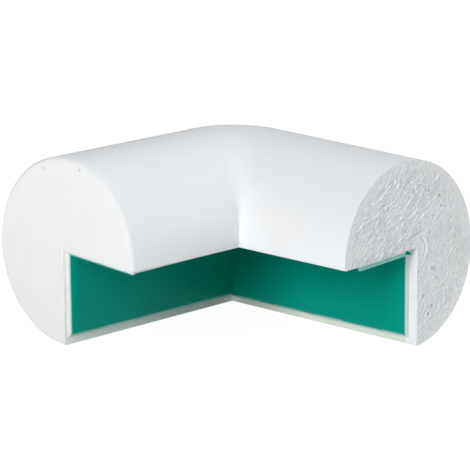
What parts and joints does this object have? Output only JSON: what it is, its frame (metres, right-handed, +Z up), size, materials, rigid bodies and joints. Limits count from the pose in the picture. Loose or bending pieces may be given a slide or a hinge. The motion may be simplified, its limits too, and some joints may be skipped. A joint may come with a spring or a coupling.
{
  "type": "edge protector profile",
  "caption": "Round foam profile bent at a right angle, with a notch lined by adhesive strips under green release liners, for cushioning a board's corner.",
  "frame": {"origin": "centre of the bounding box, at the bottom, where the feet of the two walls stand", "axes": "+Z up, +X along the right leg away from the corner, -Y along the left leg away from the corner"},
  "size_m": [0.071, 0.0716, 0.04],
  "materials": {
    "white_foam": "matte white moulded polyurethane foam with a closed skin",
    "adhesive_tape": "matte pale grey-white foam carrier",
    "green_liner": "glossy dark green release film"
  },
  "bodies": {
    "root": {"foam_body": "white_foam", "wall_tape_right": "adhesive_tape", "wall_tape_left": "adhesive_tape", "top_tape_right": "adhesive_tape", "top_tape_left": "adhesive_tape", "wall_liner_right": "green_liner", "wall_liner_left": "green_liner", "top_liner_right": "green_liner", "top_liner_left": "green_liner"}
  },
  "joints": []
}
